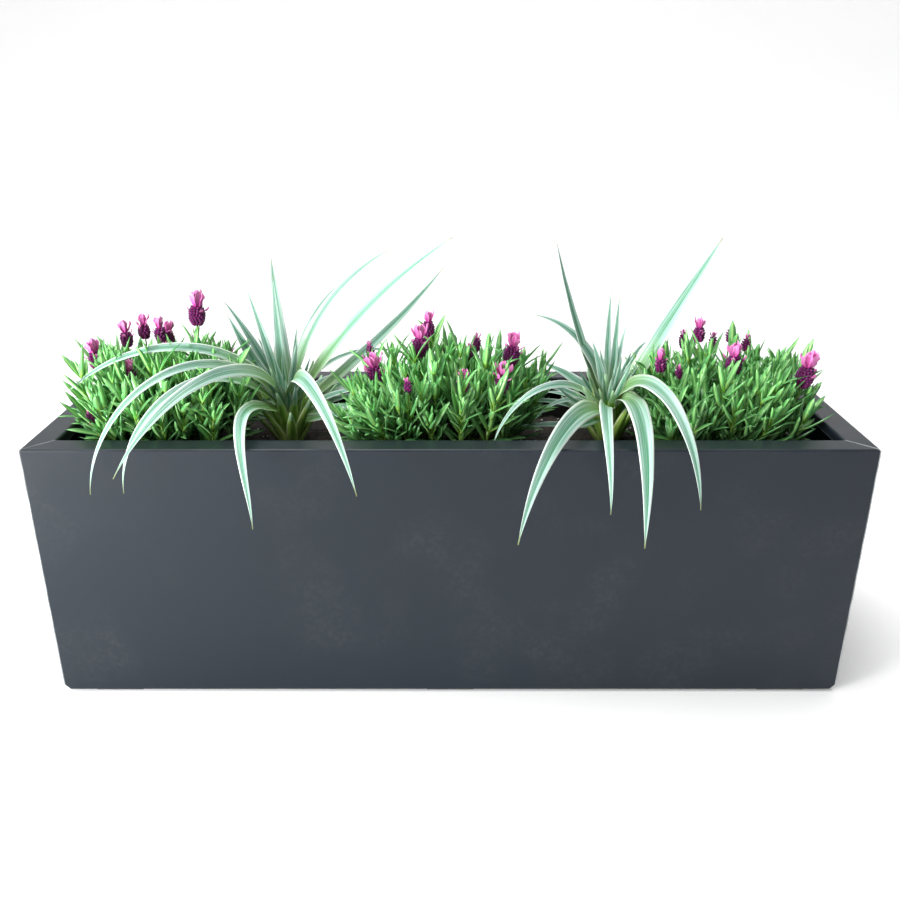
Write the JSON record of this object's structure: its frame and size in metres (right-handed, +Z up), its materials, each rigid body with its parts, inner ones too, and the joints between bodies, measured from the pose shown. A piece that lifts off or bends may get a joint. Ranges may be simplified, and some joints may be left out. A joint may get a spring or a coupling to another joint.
{
  "type": "self watering planter",
  "caption": "Rectangular folded steel trough planter with a lift-out self watering liner, wick reservoir, filler, float gauge and planted lavender and silver rosettes.",
  "frame": {"origin": "centre of the footprint on the floor", "axes": "+X along the trough to the right, +Y to the back, +Z up"},
  "size_m": [1, 0.4113, 0.554],
  "materials": {
    "powder_coat": "satin",
    "inner_steel": "matte",
    "zinc_hardware": "satin",
    "rubber": "matte",
    "liner_plastic": "matte",
    "reservoir_plastic": "matte",
    "fitting_plastic": "satin",
    "float_foam": "matte",
    "rod_plastic": "gloss",
    "indicator_red": "gloss",
    "geotextile": "matte",
    "potting_mix": "matte",
    "lavender_leaf": "satin",
    "lavender_flower": "matte",
    "silver_leaf": "satin"
  },
  "bodies": {
    "shell": {"front_panel": "powder_coat", "back_panel": "powder_coat", "left_end_panel": "powder_coat", "right_end_panel": "powder_coat", "base_panel": "inner_steel", "corner_angles": "inner_steel", "mitre_cleats": "inner_steel", "panel_studs": "zinc_hardware", "stud_nuts": "zinc_hardware", "base_rivets": "zinc_hardware", "foot_pads": "rubber", "centre_foot": "rubber", "liner_rails": "inner_steel", "access_grommet": "rubber"},
    "liner": {"liner_tub": "liner_plastic", "platform_left": "reservoir_plastic", "platform_centre": "reservoir_plastic", "platform_right": "reservoir_plastic", "platform_legs": "reservoir_plastic", "wick_basket_left": "reservoir_plastic", "wick_basket_centre": "reservoir_plastic", "wick_basket_right": "reservoir_plastic", "geotextile_mat": "geotextile", "potting_soil": "potting_mix", "filler_tube": "fitting_plastic", "filler_collar": "fitting_plastic", "filler_cap_pin": "zinc_hardware", "gauge_tube": "fitting_plastic", "gauge_collar": "fitting_plastic", "overflow_spout": "fitting_plastic", "overflow_nut": "fitting_plastic", "overflow_gasket": "rubber", "drain_bush": "fitting_plastic", "drain_nut": "fitting_plastic", "drain_gasket": "rubber", "handle_guides": "fitting_plastic", "lavender_left_foliage": "lavender_leaf", "lavender_left_flowers": "lavender_flower", "lavender_centre_foliage": "lavender_leaf", "lavender_centre_flowers": "lavender_flower", "lavender_right_foliage": "lavender_leaf", "lavender_right_flowers": "lavender_flower", "astelia_left": "silver_leaf", "astelia_right": "silver_leaf"},
    "filler_cap": {"filler_cap": "fitting_plastic"},
    "float_gauge": {"float": "float_foam", "float_rod": "rod_plastic", "indicator_tip": "indicator_red"},
    "drain_plug": {"drain_plug": "fitting_plastic", "plug_seal": "rubber"},
    "handle_left": {"liner_handle_left": "fitting_plastic"},
    "handle_right": {"liner_handle_right": "fitting_plastic"}
  },
  "joints": [
    {"name": "liner_lift", "type": "slide", "parent": "shell", "child": "liner", "axis": [0, 0, 1], "range_m": [0, 0.36]},
    {"name": "filler_cap_hinge", "type": "hinge", "parent": "liner", "child": "filler_cap", "pos_m": [0.435, 0.0865, 0.316], "axis": [0, 1, 0], "range_deg": [0, 110]},
    {"name": "float_rise", "type": "slide", "parent": "liner", "child": "float_gauge", "axis": [0, 0, 1], "range_m": [0, 0.045]},
    {"name": "drain_plug_pull", "type": "slide", "parent": "liner", "child": "drain_plug", "axis": [0, 1, 0], "range_m": [0, 0.06]},
    {"name": "handle_left_lift", "type": "slide", "parent": "liner", "child": "handle_left", "axis": [0, 0, 1], "range_m": [0, 0.05]},
    {"name": "handle_right_lift", "type": "slide", "parent": "liner", "child": "handle_right", "axis": [0, 0, 1], "range_m": [0, 0.05]}
  ]
}
